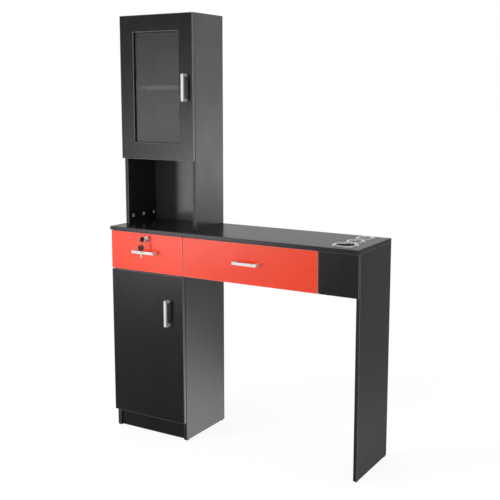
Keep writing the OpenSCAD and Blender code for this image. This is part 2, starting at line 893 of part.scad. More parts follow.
// Hinge arm: a channel over the plate that carries the link's other pin between its cheeks
module hinge_arm(y_front) {
    cheek = link_w / 2 + arm_gap;
    x_foot = board + plate_t;
    difference() {
        union() {
            for (s = [-1, 1])
                translate([0, y_front, s > 0 ? cheek : -cheek - arm_wall])
                    linear_extrude(arm_wall) {
                        translate(arm_pivot)
                            circle(r = arm_eye_r, $fn = 48);
                        polygon([[arm_pivot[0] - arm_eye_r, arm_pivot[1]],
                            [arm_pivot[0] + arm_eye_r, arm_pivot[1]],
                            [x_foot + arm_h, arm_pivot[1] + arm_nose_l],
                            [x_foot + arm_h, arm_pivot[1] + arm_l],
                            [x_foot, arm_pivot[1] + arm_l],
                            [x_foot, arm_pivot[1] + arm_heel]]);
                    }
            slab([x_foot + arm_h - arm_wall, x_foot + arm_h], [y_front + arm_pivot[1] + arm_nose_l,
                y_front + arm_pivot[1] + arm_l], [-cheek - arm_wall, cheek + arm_wall]);
            slab([x_foot, x_foot + arm_h], [y_front + arm_pivot[1] + arm_l - arm_wall,
                y_front + arm_pivot[1] + arm_l], [-cheek - arm_wall, cheek + arm_wall]);
        }
        rod([x_foot + arm_h - arm_wall - past, y_front + plate_y, 0], [1, 0, 0], arm_screw_d,
            arm_wall + 2 * past);
    }
    rod([arm_pivot[0], y_front + arm_pivot[1], -cheek - arm_wall], [0, 0, 1], 2 * hinge_pin_r,
        2 * (cheek + arm_wall));
}

// Hinge plate: a winged plate screwed to the side panel
module hinge_plate(y_front) {
    difference() {
        union() {
            slab([board, board + plate_t], from(y_front + plate_y, plate_arm_w / 2 * [-1, 1]),
                plate_w / 2 * [-1, 1]);
            slab([board, board + plate_t], from(y_front + plate_y, plate_l / 2 * [-1, 1]),
                plate_arm_w / 2 * [-1, 1]);
        }
        for (s = [-1, 1])
            rod([board + plate_t + past, y_front + plate_y, s * plate_hole_spacing / 2], [-1, 0, 0],
                panel_screw_d + 1, plate_t + 2 * past);
    }
}

module at_hinges() {
    for (z = upper_hinges)
        translate([0, 0, z]) {
            $y_hinge = y_upper_panel;
            children();
        }
    for (z = base_hinges)
        translate([0, 0, z]) {
            $y_hinge = y_panel;
            children();
        }
}

module hinge_plates() {
    color(zinc) in_station()
        at_hinges()
            hinge_plate($y_hinge);
}

module hinge_arms() {
    color(zinc) in_station()
        at_hinges()
            hinge_arm($y_hinge);
}

module hinge_links(heights, y_front) {
    for (z = heights)
        translate([arm_pivot[0], y_front + arm_pivot[1], z])
            hinge_link();
}

module upper_hinge_links() {
    color(zinc) in_station()
        hinge_links(upper_hinges, y_upper_panel);
}

module base_hinge_links() {
    color(zinc) in_station()
        hinge_links(base_hinges, y_panel);
}

module upper_hinge_cups() {
    color(zinc) in_station()
        for (z = upper_hinges)
            translate([0, 0, z])
                hinge_cup(y_upper_face + board);
}

module base_hinge_cups() {
    color(zinc) in_station()
        for (z = base_hinges)
            translate([0, 0, z])
                hinge_cup(board);
}

// Runner sections: channels that nest with a row of balls above and below
module channel(x, half, opening_half) {
    difference() {
        translate([x[0], -half])
            square([x[1] - x[0], 2 * half]);
        translate([x[0] + runner_sheet, -half + runner_sheet])
            square([x[1] - x[0] - 2 * runner_sheet, 2 * (half - runner_sheet)]);
        translate([x[0] + runner_sheet, -opening_half])
            square([x[1] - x[0], 2 * opening_half]);
    }
}

module outer_section() {
    channel([0, outer_lip_x], outer_half, middle_half + lip_gap);
}

module middle_section() {
    channel([middle_web_x, middle_lip_x], middle_half, inner_half + lip_gap);
}

module inner_section() {
    difference() {
        translate([inner_flange_x, -inner_half])
            square([runner_w - inner_flange_x, 2 * inner_half]);
        translate([inner_flange_x - past, -inner_half + runner_sheet])
            square([runner_w - inner_flange_x - runner_sheet + past, 2 * (inner_half - runner_sheet)]);
    }
}

// Puts a runner's piece at both sides of a drawer's bay, the right one mirrored
module at_both_sides(bay) {
    translate([bay[0], 0, z_runner])
        children();
    translate([bay[1], 0, z_runner])
        mirror([1, 0, 0])
            children();
}

module along_runner() {
    translate([0, y_runner + runner_l, 0])
        rotate([90, 0, 0])
            linear_extrude(runner_l)
                children();
}

module web_bores(x) {
    for (s = runner_holes)
        rod([x, y_runner + s, 0], [1, 0, 0], runner_hole_d, web_bore_deep + past);
}

module outer_rails(bay) {
    at_both_sides(bay)
        difference() {
            along_runner()
                outer_section();
            web_bores(-past);
        }
}

module middle_rails(bay) {
    at_both_sides(bay)
        along_runner()
            middle_section();
}

module inner_rails(bay) {
    at_both_sides(bay)
        difference() {
            along_runner()
                inner_section();
            web_bores(runner_w - web_bore_deep);
        }
}

// Ball cage: a thin channel with two rows of balls
module ball_cages(bay, web_x, ball_x, ball_z, flange_end) {
    at_both_sides(bay) {
        translate([0, cage_y, 0]) {
            slab([web_x, web_x + cage_sheet], [0, cage_l], [-ball_z - cage_sheet, ball_z + cage_sheet]);
            for (s = [-1, 1]) {
                slab([web_x, flange_end], [0, cage_l], [s * ball_z - cage_sheet, s * ball_z + cage_sheet]);
                for (i = [0:balls_per_row - 1])
                    translate([ball_x, (i + 0.5) * cage_l / balls_per_row, s * ball_z])
                        sphere(d = ball_d, $fn = 32);
            }
        }
    }
}

module outer_cages(bay) {
    ball_cages(bay, runner_sheet + cage_gap, outer_ball_x, outer_half - runner_sheet - race / 2,
        outer_lip_x - runner_sheet - 2 * cage_gap);
}

module inner_cages(bay) {
    ball_cages(bay, middle_web_x + runner_sheet + cage_gap, inner_ball_x, inner_half + race / 2,
        middle_lip_x - runner_sheet - 2 * cage_gap);
}

module cabinet_rails() {
    color(bright_steel) in_station() {
        outer_rails(left_bay);
        outer_rails(wide_bay);
    }
}

module left_middle_rails() {
    color(bright_steel) in_station()
        middle_rails(left_bay);
}

module wide_middle_rails() {
    color(bright_steel) in_station()
        middle_rails(wide_bay);
}

module left_outer_cages() {
    color(zinc) in_station()
        outer_cages(left_bay);
}

module left_inner_cages() {
    color(zinc) in_station()
        inner_cages(left_bay);
}

module wide_outer_cages() {
    color(zinc) in_station()
        outer_cages(wide_bay);
}

module wide_inner_cages() {
    color(zinc) in_station()
        inner_cages(wide_bay);
}

module left_drawer_rails() {
    color(bright_steel) in_station()
        inner_rails(left_bay);
}

module wide_drawer_rails() {
    color(bright_steel) in_station()
        inner_rails(wide_bay);
}

// Drawer boxes: two sides and a back, grooved for a thin bottom
z_bottom = z_drawer_box + bottom_rise;
bottom_lap = 5;
y_box_back = y_runner + runner_l;

module drawer_front(x, handle_at) {
    difference() {
        slab(x, [0, board], [z_front, z_front_top]);
        handle_bores(handle_at, [1, 0, 0]);
    }
}

module drawer_box(bay) {
    x = [bay[0] + runner_w, bay[1] - runner_w];
    bottom_cut = [z_bottom - seat_gap, z_bottom + thin_board + seat_gap];
    for (side = [0, 1])
        difference() {
            slab(side == 0 ? [x[0], x[0] + drawer_board] : [x[1] - drawer_board, x[1]],
                [board, y_box_back], [z_drawer_box, z_drawer_box + drawer_box_h]);
            slab([x[0] + drawer_board - bottom_lap - seat_gap, x[1] - drawer_board + bottom_lap + seat_gap],
                [board - past, y_box_back + past], bottom_cut);
            translate([0, 0, z_runner])
                web_bores(side == 0 ? x[0] - past : x[1] - web_bore_deep);
        }
    slab([x[0] + drawer_board, x[1] - drawer_board], [y_box_back - drawer_board, y_box_back],
        [z_bottom + thin_board, z_drawer_box + drawer_box_h]);
}

module drawer_bottom(bay) {
    grow = runner_w + drawer_board - bottom_lap;
    slab([bay[0] + grow, bay[1] - grow], [board, y_box_back], [z_bottom, z_bottom + thin_board]);
}

module left_drawer_front() {
    color(red_board) in_station()
        difference() {
            drawer_front(left_front, left_handle_at);
            rod([lock_x, -past, lock_z], [0, 1, 0], lock_barrel_d + 2 * seat_gap, board + 2 * past);
        }
}

module left_drawer_box() {
    color(black_board) in_station()
        drawer_box(left_bay);
}

module left_drawer_bottom() {
    color(dark_hardboard) in_station()
        drawer_bottom(left_bay);
}

module left_drawer_handle() {
    color(bright_steel) in_station()
        level_handle(left_handle_at);
}

module wide_drawer_front() {
    color(red_board) in_station()
        drawer_front(wide_front, wide_handle_at);
}

module wide_drawer_box() {
    color(black_board) in_station()
        drawer_box(wide_bay);
}

module wide_drawer_bottom() {
    color(dark_hardboard) in_station()
        drawer_bottom(wide_bay);
}

module wide_drawer_handle() {
    color(bright_steel) in_station()
        level_handle(wide_handle_at);
}

// Lock: a flanged barrel through the drawer front, held by a nut behind it
module at_lock() {
    translate([lock_x, 0, lock_z])
        children();
}

module lock_body() {
    color(bright_steel) in_station()
        at_lock() {
            difference() {
                union() {
                    rod([0, -lock_face_t, 0], [0, 1, 0], lock_face_d, lock_face_t);
                    rod([0, -lock_face_t, 0], [0, 1, 0], lock_barrel_d, lock_face_t + lock_barrel_l);
                }
                rod([0, -lock_face_t - past, 0], [0, 1, 0], plug_d + 2 * turn_gap,
                    lock_face_t + lock_barrel_l + 2 * past);
            }
            difference() {
                translate([0, board, 0])
                    rotate([-90, 0, 0])
                        cylinder(d = nut_d, h = nut_t, $fn = 6);
                rod([0, board - past, 0], [0, 1, 0], lock_barrel_d + 2 * turn_gap, nut_t + 2 * past);
            }
        }
}

// The plug turns in the barrel and carries the tongue at its inner end
module lock_plug() {
    plug_front = -lock_face_t - plug_proud;
    color(zinc) in_station()
        at_lock() {
            difference() {
                rod([0, plug_front, 0], [0, 1, 0], plug_d, lock_barrel_l - plug_front + turn_gap);
                slab(keyway_w / 2 * [-1, 1], [plug_front - past, key_blade_l + plug_front + keyway_end],
                    keyway_h / 2 * [-1, 1]);
            }
            translate([0, lock_barrel_l + turn_gap, 0])
                rotate([-90, 0, 0])
                    linear_extrude(tongue_t - turn_gap) {
                        circle(d = tongue_w + 2 * tongue_hub, $fn = 48);
                        translate([0, -tongue_w / 2])
                            square([tongue_reach, tongue_w]);
                    }
        }
}

// Key: a blade with notches, a neck and a round bow with a hole, along Y with its bow outwards
module key(blade_l) {
    shoulder = key_neck_h / 2;
    rotate([90, 0, 90])
        translate([0, 0, -key_t / 2])
            linear_extrude(key_t)
                difference() {
                    union() {
                        translate([key_bow_y, 0])
                            circle(d = key_bow_d, $fn = 64);
                        translate([key_bow_y, -shoulder])
                            square([-key_bow_y - lock_face_t - plug_proud - seat_gap, 2 * shoulder]);
                    }
                    translate([key_hole_y, 0])
                        circle(r = key_hole_r, $fn = 48);
                }
    rotate([90, 0, 90])
        translate([0, 0, -key_blade_t / 2])
            linear_extrude(key_blade_t)
                difference() {
                    translate([-lock_face_t - plug_proud - past, -key_blade_h / 2])
                        square([blade_l + past, key_blade_h]);
                    for (n = [0:key_notches - 1])
                        translate([-lock_face_t + key_notch_start + n * key_notch_step, key_blade_h / 2])
                            rotate(45)
                                square((1 + n % 2) * key_notch_w, center = true);
                }
}

module lock_key() {
    color(black_plastic) in_station()
        at_lock()
            key(key_blade_l);
}

// Key ring: hangs from the key's hole, turned to one side
module key_ring() {
    color(bright_steel) in_station()
        at_lock()
            translate([0, key_hole_y, -key_ring_d / 2])
                rotate([90, 0, -ring_turn])
                    rotate_extrude($fn = 96)
                        translate([key_ring_d / 2, 0])
                            circle(r = ring_wire_r, $fn = 24);
}

// The spare key hangs from the ring's lowest point with its bow up
module spare_key() {
    color(black_plastic) in_station()
        at_lock()
            translate([0, key_hole_y, -key_ring_d])
                rotate([-90, 0, 180 - ring_turn])
                    translate([0, -key_hole_y, 0])
                        key(spare_blade_l);
}

base_left_side();
base_right_side();
base_floor();
base_plinth();
drawer_board();
base_shelf();
base_back();
worktop();
end_panel();
filler_panel();
holder_partition();
rear_apron();
upper_left_side();
upper_right_side();
upper_top();
upper_floor();
upper_shelf();
upper_back();
wall_rail();
front_tool_holder();
small_tool_holders();
floor_glides();
cam_locks();
cam_bolts();
shelf_pins();
bumpers();
hinge_plates();
hinge_arms();
cabinet_rails();
upper_hinge_links();
base_hinge_links();
upper_door_frame();
upper_door_glass();
glass_bead();
upper_door_handle();
upper_hinge_cups();
base_door_panel();
base_door_handle();
base_hinge_cups();
left_drawer_front();
left_drawer_box();
left_drawer_bottom();
left_drawer_handle();
left_drawer_rails();
left_middle_rails();
left_outer_cages();
left_inner_cages();
wide_drawer_front();
wide_drawer_box();
wide_drawer_bottom();
wide_drawer_handle();
wide_drawer_rails();
wide_middle_rails();
wide_outer_cages();
wide_inner_cages();
lock_body();
lock_plug();
lock_key();
key_ring();
spare_key();
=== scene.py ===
import json
import math

import bmesh
import bpy
from mathutils import Matrix, Vector


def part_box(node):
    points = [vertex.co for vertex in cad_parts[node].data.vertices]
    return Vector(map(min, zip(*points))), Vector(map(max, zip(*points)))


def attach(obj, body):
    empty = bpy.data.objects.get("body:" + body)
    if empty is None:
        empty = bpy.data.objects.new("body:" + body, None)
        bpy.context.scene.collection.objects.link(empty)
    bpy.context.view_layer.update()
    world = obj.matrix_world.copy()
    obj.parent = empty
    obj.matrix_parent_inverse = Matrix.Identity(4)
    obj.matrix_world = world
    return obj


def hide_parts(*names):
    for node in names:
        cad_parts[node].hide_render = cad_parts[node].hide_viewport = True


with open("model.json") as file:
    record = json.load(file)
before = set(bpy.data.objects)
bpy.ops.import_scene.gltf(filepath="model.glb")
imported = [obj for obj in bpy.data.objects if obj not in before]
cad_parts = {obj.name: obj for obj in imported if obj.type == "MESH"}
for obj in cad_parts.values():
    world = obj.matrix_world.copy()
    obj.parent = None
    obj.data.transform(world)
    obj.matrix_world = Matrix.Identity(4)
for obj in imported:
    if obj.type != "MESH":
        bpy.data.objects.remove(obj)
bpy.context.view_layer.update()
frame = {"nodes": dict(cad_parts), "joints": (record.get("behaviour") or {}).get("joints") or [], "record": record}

# The camera stands about three metres off at the right front and looks slightly down. Its small
# shift frames the station as the photograph does.
camera_data = bpy.data.cameras.new("camera")
camera = bpy.data.objects.new("camera", camera_data)
bpy.context.scene.collection.objects.link(camera)
camera.location = (1.737, -2.8377, 1.385)
looks_down = math.radians(8.534)
turned_left = math.radians(30.952)
camera.rotation_euler = (math.pi / 2 - looks_down, 0, turned_left)
camera_data.sensor_width = 36
camera_data.lens = 62.309
camera_data.shift_y = -0.05
bpy.context.scene.camera = camera
bpy.context.scene.view_settings.view_transform = "Standard"


# The studio: a white room with a pale floor that runs out of sight and keeps a faint shadow. Gloss
# mirrors the room, which is dim there apart from some bright places.
def add_node(tree, kind, sockets=None, **settings):
    """A shader node with its settings, and a value or a link for each socket that is named."""
    made = tree.nodes.new("ShaderNode" + kind)
    for name, value in settings.items():
        setattr(made, name, value)
    for name, value in (sockets or {}).items():
        if isinstance(value, bpy.types.NodeSocket):
            tree.links.new(value, made.inputs[name])
        else:
            made.inputs[name].default_value = value
    return made


def worked(tree, operation, *values):
    """What this operation makes of the values or links."""
    return add_node(tree, "Math", dict(enumerate(values)), operation=operation).outputs[0]


def mapped(tree, value, old, new, **settings):
    """A value carried from the old range to the new one and held at its ends."""
    return add_node(tree, "MapRange", {"Value": value, "From Min": old[0], "From Max": old[1],
                                       "To Min": new[0], "To Max": new[1]},
                    **settings).outputs["Result"]


def either_ray(tree, *rays):
    """1 for a ray of one of these kinds, else 0."""
    path = add_node(tree, "LightPath")
    found = path.outputs[rays[0]]
    for ray in rays[1:]:
        found = worked(tree, "MAXIMUM", found, path.outputs[ray])
    return found


def within(tree, angle, middle, half, soft):
    """1 where an angle lies within half of the middle, fading to 0 over soft, all in degrees."""
    away = worked(tree, "ABSOLUTE", worked(tree, "SUBTRACT", angle, math.radians(middle)))
    edge = (math.radians(half - soft / 2), math.radians(half + soft / 2))
    return mapped(tree, away, edge, (1.0, 0.0), interpolation_type="SMOOTHSTEP")


def mixed(tree, share, first, second):
    """Two shaders, of which the second counts by its share."""
    return add_node(tree, "MixShader", {0: share, 1: first, 2: second}).outputs[0]


def new_material(name):
    """A new material, and its node tree with nothing in it."""
    material = bpy.data.materials.new(name)
    material.use_nodes = True
    material.node_tree.nodes.clear()
    return material, material.node_tree


room = bpy.data.worlds.new("white room")
bpy.context.scene.world = room
room.use_nodes = True
walls = room.node_tree
walls.nodes.clear()
way = add_node(walls, "SeparateXYZ", {0: add_node(walls, "TexCoord").outputs["Generated"]})
bearing = worked(walls, "ARCTAN2", way.outputs["X"], way.outputs["Y"])
elevation = worked(walls, "ARCSINE", way.outputs["Z"])
mirrored = 0.12
# The bright places, in degrees: the ceiling, two stretches of wall at the left back, one at the
# right front, two soft boxes at the left front with their glow on the wall, and at the right back
# two more with the wall beside them and the lit floor below.
for middle, half_width, soft_width, level_at, half_height, soft_height, strength in [
        (0.0, 360.0, 1.0, 60.0, 40.0, 10.0, 0.28),
        (-42.0, 40.0, 16.0, 9.0, 15.0, 10.0, 0.45),
        (-68.0, 12.0, 10.0, 20.0, 12.0, 8.0, 1.6),
        (130.0, 38.0, 24.0, -6.0, 26.0, 16.0, 1.1),
        (-148.5, 2.5, 3.0, -5.0, 2.5, 2.5, 14.0),
        (-144.0, 2.5, 4.0, -8.5, 2.0, 2.5, 8.0),
        (-141.0, 6.0, 8.0, -2.0, 3.0, 8.0, 0.9),
        (34.0, 3.0, 5.0, 1.0, 8.0, 6.0, 3.05),
        (34.0, 3.0, 5.0, -5.0, 3.0, 5.0, 2.6),
        (21.0, 6.0, 6.0, -15.0, 9.0, 6.0, 0.17),
        (34.5, 3.0, 4.0, -12.0, 1.5, 3.0, 1.2),
        (35.0, 5.0, 5.0, -22.5, 3.5, 5.0, 3.9),
        (40.0, 5.0, 5.0, -17.0, 3.0, 5.0, 3.4)]:
    bright_place = worked(walls, "MULTIPLY", within(walls, bearing, middle, half_width, soft_width),
                          within(walls, elevation, level_at, half_height, soft_height))
    mirrored = worked(walls, "MULTIPLY_ADD", bright_place, strength, mirrored)
lighting, in_gloss, white = [
    add_node(walls, "Background", {"Color": (1, 1, 1, 1), "Strength": strength}).outputs[0]
    for strength in (0.62, mirrored, 1.0)]
unseen = mixed(walls, either_ray(walls, "Is Glossy Ray"), lighting, in_gloss)
seen = either_ray(walls, "Is Camera Ray", "Is Transmission Ray")
add_node(walls, "OutputWorld", {"Surface": mixed(walls, seen, unseen, white)})

just_below_glides = -0.0005
bpy.ops.mesh.primitive_plane_add(size=60, location=(0, 0, just_below_glides))
floor = bpy.context.object
floor.name = "studio_floor"
floor.visible_glossy = False
pale_floor, tree = new_material("pale floor")
lit_floor = add_node(tree, "BsdfDiffuse", {"Color": (0.82, 0.82, 0.83, 1)})
shadow_keeper = add_node(tree, "BsdfDiffuse", {"Color": (0.16, 0.16, 0.16, 1)})
white_floor = add_node(tree, "Emission", {"Color": (1, 1, 1, 1), "Strength": 0.9})
seen_floor = add_node(tree, "AddShader", {0: white_floor.outputs[0], 1: shadow_keeper.outputs[0]})
seen = either_ray(tree, "Is Camera Ray", "Is Transmission Ray")
add_node(tree, "OutputMaterial", {"Surface": mixed(tree, seen, lit_floor.outputs[0],
                                                   seen_floor.outputs[0])})
floor.data.materials.append(pale_floor)


# The lamps: one soft box low at the left front, and a larger, weaker one beside it. The room above
# already holds what gloss shows of them.
def soft_box(name, at, towards, side, watts):
    """A square area lamp at one point that faces another."""
    lamp = bpy.data.lights.new(name, "AREA")
    lamp.shape = "SQUARE"
    lamp.size, lamp.energy = side, watts
    holder = bpy.data.objects.new(name, lamp)
    holder.location = at
    holder.rotation_euler = (Vector(towards) - Vector(at)).to_track_quat("-Z", "Y").to_euler()
    holder.visible_glossy = holder.visible_transmission = False
    bpy.context.scene.collection.objects.link(holder)


soft_box("key box", (-2.7, -3.3, 1.15), (-0.1, 0, 0.9), 0.8, 93)
soft_box("front box", (-1.4, -3.9, 1.5), (-0.1, 0, 0.9), 1.2, 8)

# The carcass boards: chipboard with a coat of black melamine, whose pressed texture is as fine as
# orange peel. The narrow sides carry a plastic edge band. The long edges are eased, and the short
# ones, along bores and at corners, stay sharp.
same_place = 0.000005
shortest_eased = 0.008
sharp_fold = math.radians(40)
long_edges = bpy.data.node_groups.new("Long sharp edges", "GeometryNodeTree")
for side in ("INPUT", "OUTPUT"):
    long_edges.interface.new_socket("Geometry", in_out=side, socket_type="NodeSocketGeometry")
ends = long_edges.nodes.new("GeometryNodeInputMeshEdgeVertices").outputs
edge_length = add_node(long_edges, "VectorMath", {0: ends["Position 1"], 1: ends["Position 2"]},
                       operation="DISTANCE").outputs["Value"]
fold = long_edges.nodes.new("GeometryNodeInputMeshEdgeAngle").outputs["Unsigned Angle"]
is_sharp = worked(long_edges, "GREATER_THAN", fold, sharp_fold)
marked = long_edges.nodes.new("NodeGroupInput").outputs[0]
for attribute, kind, long_or_short in [("bevel_weight_edge", "FLOAT", "GREATER_THAN"),
                                       ("sharp_edge", "BOOLEAN", "LESS_THAN")]:
    chosen = worked(long_edges, "MULTIPLY", is_sharp,
                    worked(long_edges, long_or_short, edge_length, shortest_eased))
    store = long_edges.nodes.new("GeometryNodeStoreNamedAttribute")
    store.data_type, store.domain = kind, "EDGE"
    store.inputs["Name"].default_value = attribute
    long_edges.links.new(marked, store.inputs["Geometry"])
    long_edges.links.new(chosen, store.inputs["Value"])
    marked = store.outputs["Geometry"]
long_edges.links.new(marked, long_edges.nodes.new("NodeGroupOutput").inputs[0])


def ease_edges(node, radius, steps=3, long_only=False):
    """Rounds a CAD node's edges with modifiers, which leave its own mesh as it is."""
    piece = frame["nodes"][node]
    merged = piece.modifiers.new("Merged corners", "WELD")
    merged.merge_threshold = same_place
    flat = piece.modifiers.new("Whole faces", "DECIMATE")
    flat.decimate_type = "DISSOLVE"
    flat.angle_limit = math.radians(0.5)
    if long_only:
        piece.modifiers.new("Long sharp edges", "NODES").node_group = long_edges
    eased = piece.modifiers.new("Eased edges", "BEVEL")
    eased.limit_method = "WEIGHT" if long_only else "ANGLE"
    eased.angle_limit = sharp_fold
    eased.width = radius
    eased.segments = steps
    eased.loop_slide = False
    shaded = piece.modifiers.new("Flat faces", "WEIGHTED_NORMAL")
    shaded.keep_sharp = long_only
    return piece


def paint(piece, material):
    """Gives a piece one material all over."""
    piece.data.materials.clear()
    piece.data.materials.append(material)
    return piece


def noise(tree, place, scale, detail, roughness=0.5):
    """A noise laid out in these coordinates."""
    return add_node(tree, "TexNoise", {"Vector": place, "Scale": scale, "Detail": detail,
                                       "Roughness": roughness}).outputs["Fac"]


def ramp(tree, amount, low, deep, high, pale):
    """The deep colour up to the low amount, the pale one from the high amount on."""
    between = add_node(tree, "ValToRGB", {"Fac": amount})
    for stop, position, colour in zip(between.color_ramp.elements, (low, high), (deep, pale)):
        stop.position, stop.color = position, (*colour, 1)
    return between.outputs[0]


def blend(tree, share, first, second):
    """Two colours, of which the second counts by its share."""
    first, second = [colour if isinstance(colour, bpy.types.NodeSocket) else (*colour, 1)
                     for colour in (first, second)]
    return add_node(tree, "Mix", {"Factor": share, 6: first, 7: second},
                    data_type="RGBA").outputs[2]


def relief(tree, height, strength, distance):
    """The normal of a surface with this fine relief."""
    return add_node(tree, "Bump", {"Height": height, "Strength": strength,
                                   "Distance": distance}).outputs[0]


def surface(tree, sockets):
    """Ends a material's tree with a principled shader."""
    shader = add_node(tree, "BsdfPrincipled", sockets)
    add_node(tree, "OutputMaterial", {"Surface": shader.outputs[0]})


def board_coat(name, deep, pale, gloss, band, band_gloss, arris, thin_axis):
    """Melamine on the broad faces, an edge band on the narrow ones, which don't face thin_axis,
    and a painted highlight along each rounded arris: the arris colour, broken up by noise."""
    coat, tree = new_material(name)
    texture = add_node(tree, "TexCoord").outputs
    place = texture["Object"]
    facing = add_node(tree, "SeparateXYZ", {0: texture["Normal"]}).outputs
    turned_to = {axis: worked(tree, "ABSOLUTE", facing[axis]) for axis in "XYZ"}
    squarest = worked(tree, "MAXIMUM", worked(tree, "MAXIMUM", turned_to["X"], turned_to["Y"]),
                      turned_to["Z"])
    # Painted highlight: where the normal turns over the rounded arris, the arris colour is laid in, in patches set
    # by noise.
    rounded = mapped(tree, squarest, (0.90, 0.985), (1.0, 0.0))
    arris_highlight_breakup = noise(tree, place, scale=55.0, detail=4.0)
    painted_arris_highlight = worked(tree, "MULTIPLY", rounded, mapped(tree, arris_highlight_breakup, (0.3, 0.7), (0.55, 1.0)))
    narrow = worked(tree, "LESS_THAN", turned_to[thin_axis], 0.5)
    clouds = noise(tree, place, scale=4.0, detail=5.0, roughness=0.6)
    plain_coat = blend(tree, narrow, ramp(tree, clouds, 0.3, deep, 0.7, pale), band)
    smudges = noise(tree, place, scale=9.0, detail=7.0, roughness=0.7)
    smudged = mapped(tree, smudges, (0.35, 0.65), (gloss - 0.01, gloss + 0.01))
    sheen = add_node(tree, "Mix", {"Factor": narrow, 2: smudged, 3: band_gloss}).outputs[0]
    pearl = noise(tree, place, scale=700.0, detail=2.0)
    surface(tree, {"Base Color": blend(tree, painted_arris_highlight, plain_coat, arris), "Roughness": sheen,
                   "IOR": 1.45, "Specular Tint": (1.0, 0.945, 0.99, 1),
                   "Normal": relief(tree, pearl, strength=0.08, distance=0.0002)})
    return coat


black = ((0.010, 0.0092, 0.010), (0.0155, 0.0145, 0.0155), 0.21)
# The pale grey that is painted along the boards' and doors' rounded arrises as a highlight.
arris_highlight_paint = (0.42, 0.40, 0.42)
black_banded = (*black, (0.022, 0.021, 0.022), 0.3, arris_highlight_paint)
black_standing = board_coat("black melamine, side boards", *black_banded, "X")
black_facing = board_coat("black melamine, front boards", *black_banded, "Y")
black_lying = board_coat("black melamine, level boards", *black_banded, "Z")
# The shelf's paler grey edge band is painted light: it stands in for the key box's light, which the glass keeps
# from the shelf.
shelf_with_painted_light_band = board_coat("black melamine, shelf with a grey band", *black, (0.085, 0.080, 0.084),
                         0.3, arris_highlight_paint, "Z")
board_radius = 0.0012
for coat, nodes in [
        (black_standing, ["base_left_side", "base_right_side", "end_panel", "holder_partition",
                          "upper_left_side", "upper_right_side"]),
        (black_facing, ["base_plinth", "filler_panel", "rear_apron", "wall_rail"]),
        (black_lying, ["base_floor", "drawer_board", "base_shelf", "upper_top", "upper_floor"]),
        (shelf_with_painted_light_band, ["upper_shelf"])]:
    for node in nodes:
        paint(ease_edges(node, board_radius, long_only=True), coat)

# The worktop: a board of the same make, lying on the cabinet, the partition and the end panel. Its
# edge band has the melamine's own colour and gloss, and its arrises carry only a faint painted highlight in dark
# grey.
black_worktop = board_coat("black melamine, worktop", *black, (0.0135, 0.0125, 0.0135), 0.21,
                           (0.12, 0.115, 0.12), "Z")
paint(ease_edges("worktop", board_radius, long_only=True), black_worktop)

# The doors: one board each. The frame round the glass is routed from a single board. Their edge
# bands are glossier than the carcass's, and their arrises rounder.
black_door = board_coat("black melamine, doors", *black, (0.024, 0.023, 0.024), 0.18, arris_highlight_paint,
                        "Y")
front_radius = 0.0019
for node in ["upper_door_frame", "base_door_panel"]:
    paint(ease_edges(node, front_radius, long_only=True), black_door)

# The drawer fronts: chipboard with a coat of red melamine, and an edge band in the same red. Each is
# screwed to its drawer box from inside.
# The pale pink arris colour is a painted highlight along the fronts' rounded edges.
red_front = board_coat("red melamine", (0.78, 0.053, 0.019), (0.83, 0.064, 0.026), 0.21,
                       (0.84, 0.08, 0.045), 0.3, (0.97, 0.70, 0.62), "Y")
for node in ["left_drawer_front", "wide_drawer_front"]:
    paint(ease_edges(node, front_radius, long_only=True), red_front)

# The thin backs and drawer bottoms: hardboard, black on both sides, with the press screen's fine
# pattern in its surface.
hardboard, tree = new_material("black hardboard")
place = add_node(tree, "TexCoord").outputs["Object"]
fibres = noise(tree, place, scale=60.0, detail=8.0, roughness=0.75)
screen = add_node(tree, "TexVoronoi", {"Vector": place, "Scale": 380.0}).outputs["Distance"]
surface(tree, {"Base Color": ramp(tree, fibres, 0.35, (0.050, 0.046, 0.046),
                                  0.7, (0.070, 0.065, 0.064)),
               "Roughness": 0.26,
               "Normal": relief(tree, screen, strength=0.1, distance=0.0002)})
for node in ["base_back", "upper_back", "left_drawer_bottom", "wide_drawer_bottom"]:
    paint(frame["nodes"][node], hardboard)


# The metal parts share one kind of finish: a bright coat over steel or zinc, with fine marks
# along the way that it was drawn or brushed.
def metal(name, pale, deep, roughness, marks=(1, 1, 1), mark_scale=300.0, depth=0.00003,
          spread=0.08, share=1.0):
    """A finish whose roughness spreads about its mean, and which is metallic by its share."""
    finish, tree = new_material(name)
    place = add_node(tree, "TexCoord").outputs["Object"]
    stretched = add_node(tree, "Mapping", {"Vector": place, "Scale": marks}).outputs[0]
    lines = noise(tree, stretched, mark_scale, detail=3.0, roughness=0.6)
    least, most = max(0.02, roughness - spread / 2), roughness + spread / 2
    clouds = noise(tree, place, scale=35.0, detail=4.0)
    surface(tree, {"Base Color": blend(tree, clouds, pale, deep), "Metallic": share,
                   "Roughness": mapped(tree, lines, (0.3, 0.7), (least, most)),
                   "Normal": relief(tree, lines, strength=0.3, distance=depth)})
    return finish


zinc_plate = metal("zinc plate", (0.68, 0.70, 0.74), (0.58, 0.60, 0.65), 0.3)
nickel_plate = metal("nickel plate", (0.74, 0.72, 0.69), (0.66, 0.64, 0.61), 0.22)
die_cast = metal("zinc die casting", (0.90, 0.90, 0.91), (0.78, 0.79, 0.81), 0.42,
                 mark_scale=500.0, depth=0.00008, share=0.15)
chrome = metal("chrome", (0.86, 0.87, 0.88), (0.82, 0.83, 0.85), 0.07, depth=0.000004,
               spread=0.04)

# The fittings that hold the boards: zinc cams, cast and left bright, that sit in blind bores and draw
# in the heads of plated bolts, and plated pins under the shelves.
fitting_radius = 0.0003
paint(ease_edges("cam_locks", fitting_radius, 2), die_cast)
for node in ["cam_bolts", "shelf_pins"]:
    paint(frame["nodes"][node], zinc_plate)


